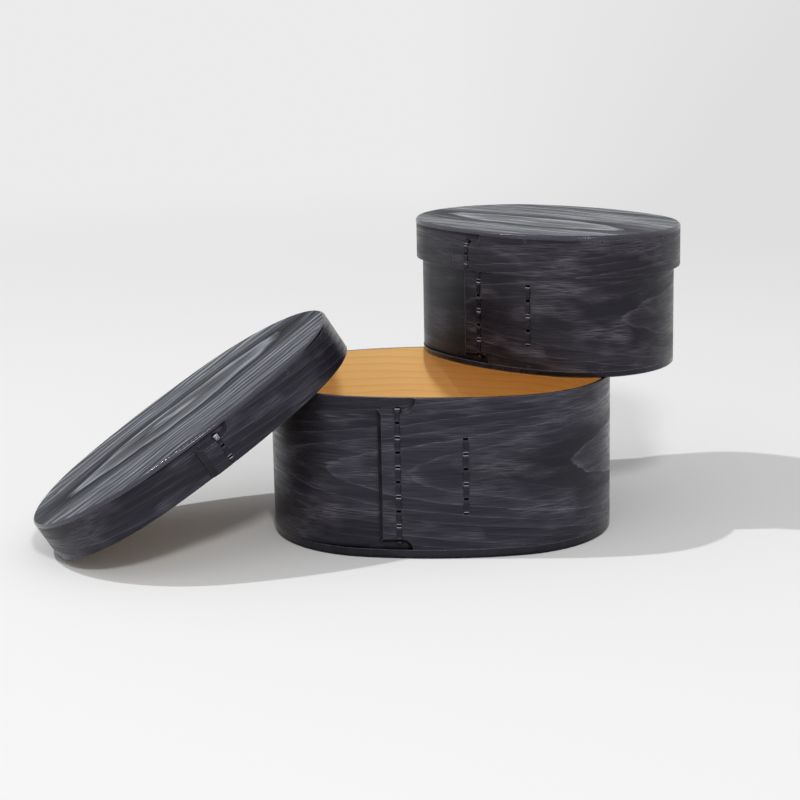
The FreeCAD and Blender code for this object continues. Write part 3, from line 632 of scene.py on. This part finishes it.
# Painted shade and highlight along the lace, from one slot at 0 to the next at 1, and back to 0 at the one
# after: painted black in each slot, and a painted highlight where the root rises out of it. The palest
# painted highlights lie beside every second slot.
STITCH_PAINTED_SHADE_AND_HIGHLIGHT = [(0.0, "#161616"), (0.055, "#161616"), (0.10, "#ffffff"), (0.3, "#c0c0c0"),
                 (0.7, "#c0c0c0"), (0.90, "#ffffff"), (0.945, "#161616"), (1.0, "#161616")]
STITCH_PAINTED_HIGHLIGHT = [(0.06, "#000000"), (0.10, "#ffffff"), (0.15, "#000000"), (1.0, "#000000")]


def stained_root(name, own, first, pitch):
    """Split root under the same stain, with painted shade, black where it dips into the slots and darker in
    its crevices, and a painted highlight where it rises out of them. The slots lie a pitch apart from the
    first, both in mm up the piece's own axis."""
    material, tree = new_material(name)
    place = add(tree, "ShaderNodeTexCoord")
    grain = add(tree, "ShaderNodeMapping", {"Vector": place.outputs["Object"], "Scale": ROOT_WAVES})
    grain = add(tree, "ShaderNodeTexNoise", {"Vector": grain.outputs[0], "Scale": 1.0, "Detail": 3.0})
    tone = add(tree, "ShaderNodeValToRGB", {"Fac": grain.outputs[0]},
               stops=[(0.3, "#141318"), (0.7, "#302f36")])
    turn = own.inverted()
    height = add(tree, "ShaderNodeMapping", {"Vector": place.outputs["Object"],
                                             "Location": turn.to_translation(),
                                             "Rotation": turn.to_euler()})
    height = add(tree, "ShaderNodeSeparateXYZ", {"Vector": height.outputs[0]})
    step = add(tree, "ShaderNodeMath", {0: height.outputs["Z"], 1: 1 / (pitch * MM), 2: -first / pitch},
               operation="MULTIPLY_ADD")
    step = add(tree, "ShaderNodeMath", {0: step.outputs[0], 1: 1.0}, operation="PINGPONG")
    painted_stitch_shade = add(tree, "ShaderNodeValToRGB", {"Fac": step.outputs[0]}, stops=STITCH_PAINTED_SHADE_AND_HIGHLIGHT)
    painted_crest_highlight = add(tree, "ShaderNodeValToRGB", {"Fac": step.outputs[0]}, stops=STITCH_PAINTED_HIGHLIGHT)
    # Painted shade: darker in crevices and in the slots.
    painted_crevice_shade = add(tree, "ShaderNodeAmbientOcclusion", {"Distance": 0.0025}, samples=8)
    painted_crevice_shade = add(tree, "ShaderNodeMapRange", {"Value": painted_crevice_shade.outputs["AO"], "From Min": 0.5, "From Max": 0.9})
    painted_crevice_shade = add(tree, "ShaderNodeMath", {0: painted_crevice_shade.outputs[0], 1: painted_stitch_shade.outputs[0]}, operation="MULTIPLY")
    colour = add(tree, "ShaderNodeVectorMath", {0: tone.outputs[0], "Scale": painted_crevice_shade.outputs[0]},
                 operation="SCALE")
    # Painted highlight: the lace is mixed towards pale grey beside the slots.
    colour = add(tree, "ShaderNodeMix", {"Factor": painted_crest_highlight.outputs[0], MIX_A: colour.outputs[0],
                                         MIX_B: linear("#8f8e96")}, data_type="RGBA")
    # The shine is dimmed by the same painted shade.
    shine = add(tree, "ShaderNodeMath", {0: painted_crevice_shade.outputs[0], 1: 0.5}, operation="MULTIPLY")
    bump = add(tree, "ShaderNodeBump", {"Height": grain.outputs[0], "Strength": 0.3, "Distance": 0.0002})
    root = add(tree, "ShaderNodeBsdfPrincipled", {"Base Color": colour.outputs[MIX_RESULT],
                                                  "Roughness": 0.2, "IOR": 1.5,
                                                  "Specular IOR Level": shine.outputs[0],
                                                  "Specular Tint": linear("#ebe7ff"),
                                                  "Normal": bump.outputs[0]})
    add(tree, "ShaderNodeOutputMaterial", {"Surface": root.outputs[0]})
    return material


# Each lacing's own axes, and its first slot and pitch in mm.
LACINGS = {"large_main_lacing": (LARGE_AXES, 22.7, 10.2), "large_inner_lacing": (LARGE_AXES, 31.0, 10.35),
           "small_main_lacing": (SMALL_AXES, 20.6, 10.55), "small_inner_lacing": (SMALL_AXES, 20.6, 10.5),
           "large_lid_lacing": (LARGE_LID_AXES, 5.0, 9.1), "small_lid_lacing": (SMALL_AXES, 75.3, 6.5)}
for name, (own, first, pitch) in LACINGS.items():
    nodes[name].data.materials.clear()
    nodes[name].data.materials.append(stained_root("black_stained_root_" + name, own, first, pitch))


# The pegs are whittled from birch, driven through the strip into each board and cut flush. They have the
# same stain and wax as the boards' edges, so that they hardly show.

for name in ["large_base_pegs", "large_lid_pegs", "small_base_pegs", "small_lid_pegs"]:
    nodes[name].data.materials.clear()
    nodes[name].data.materials.append(cut_board)
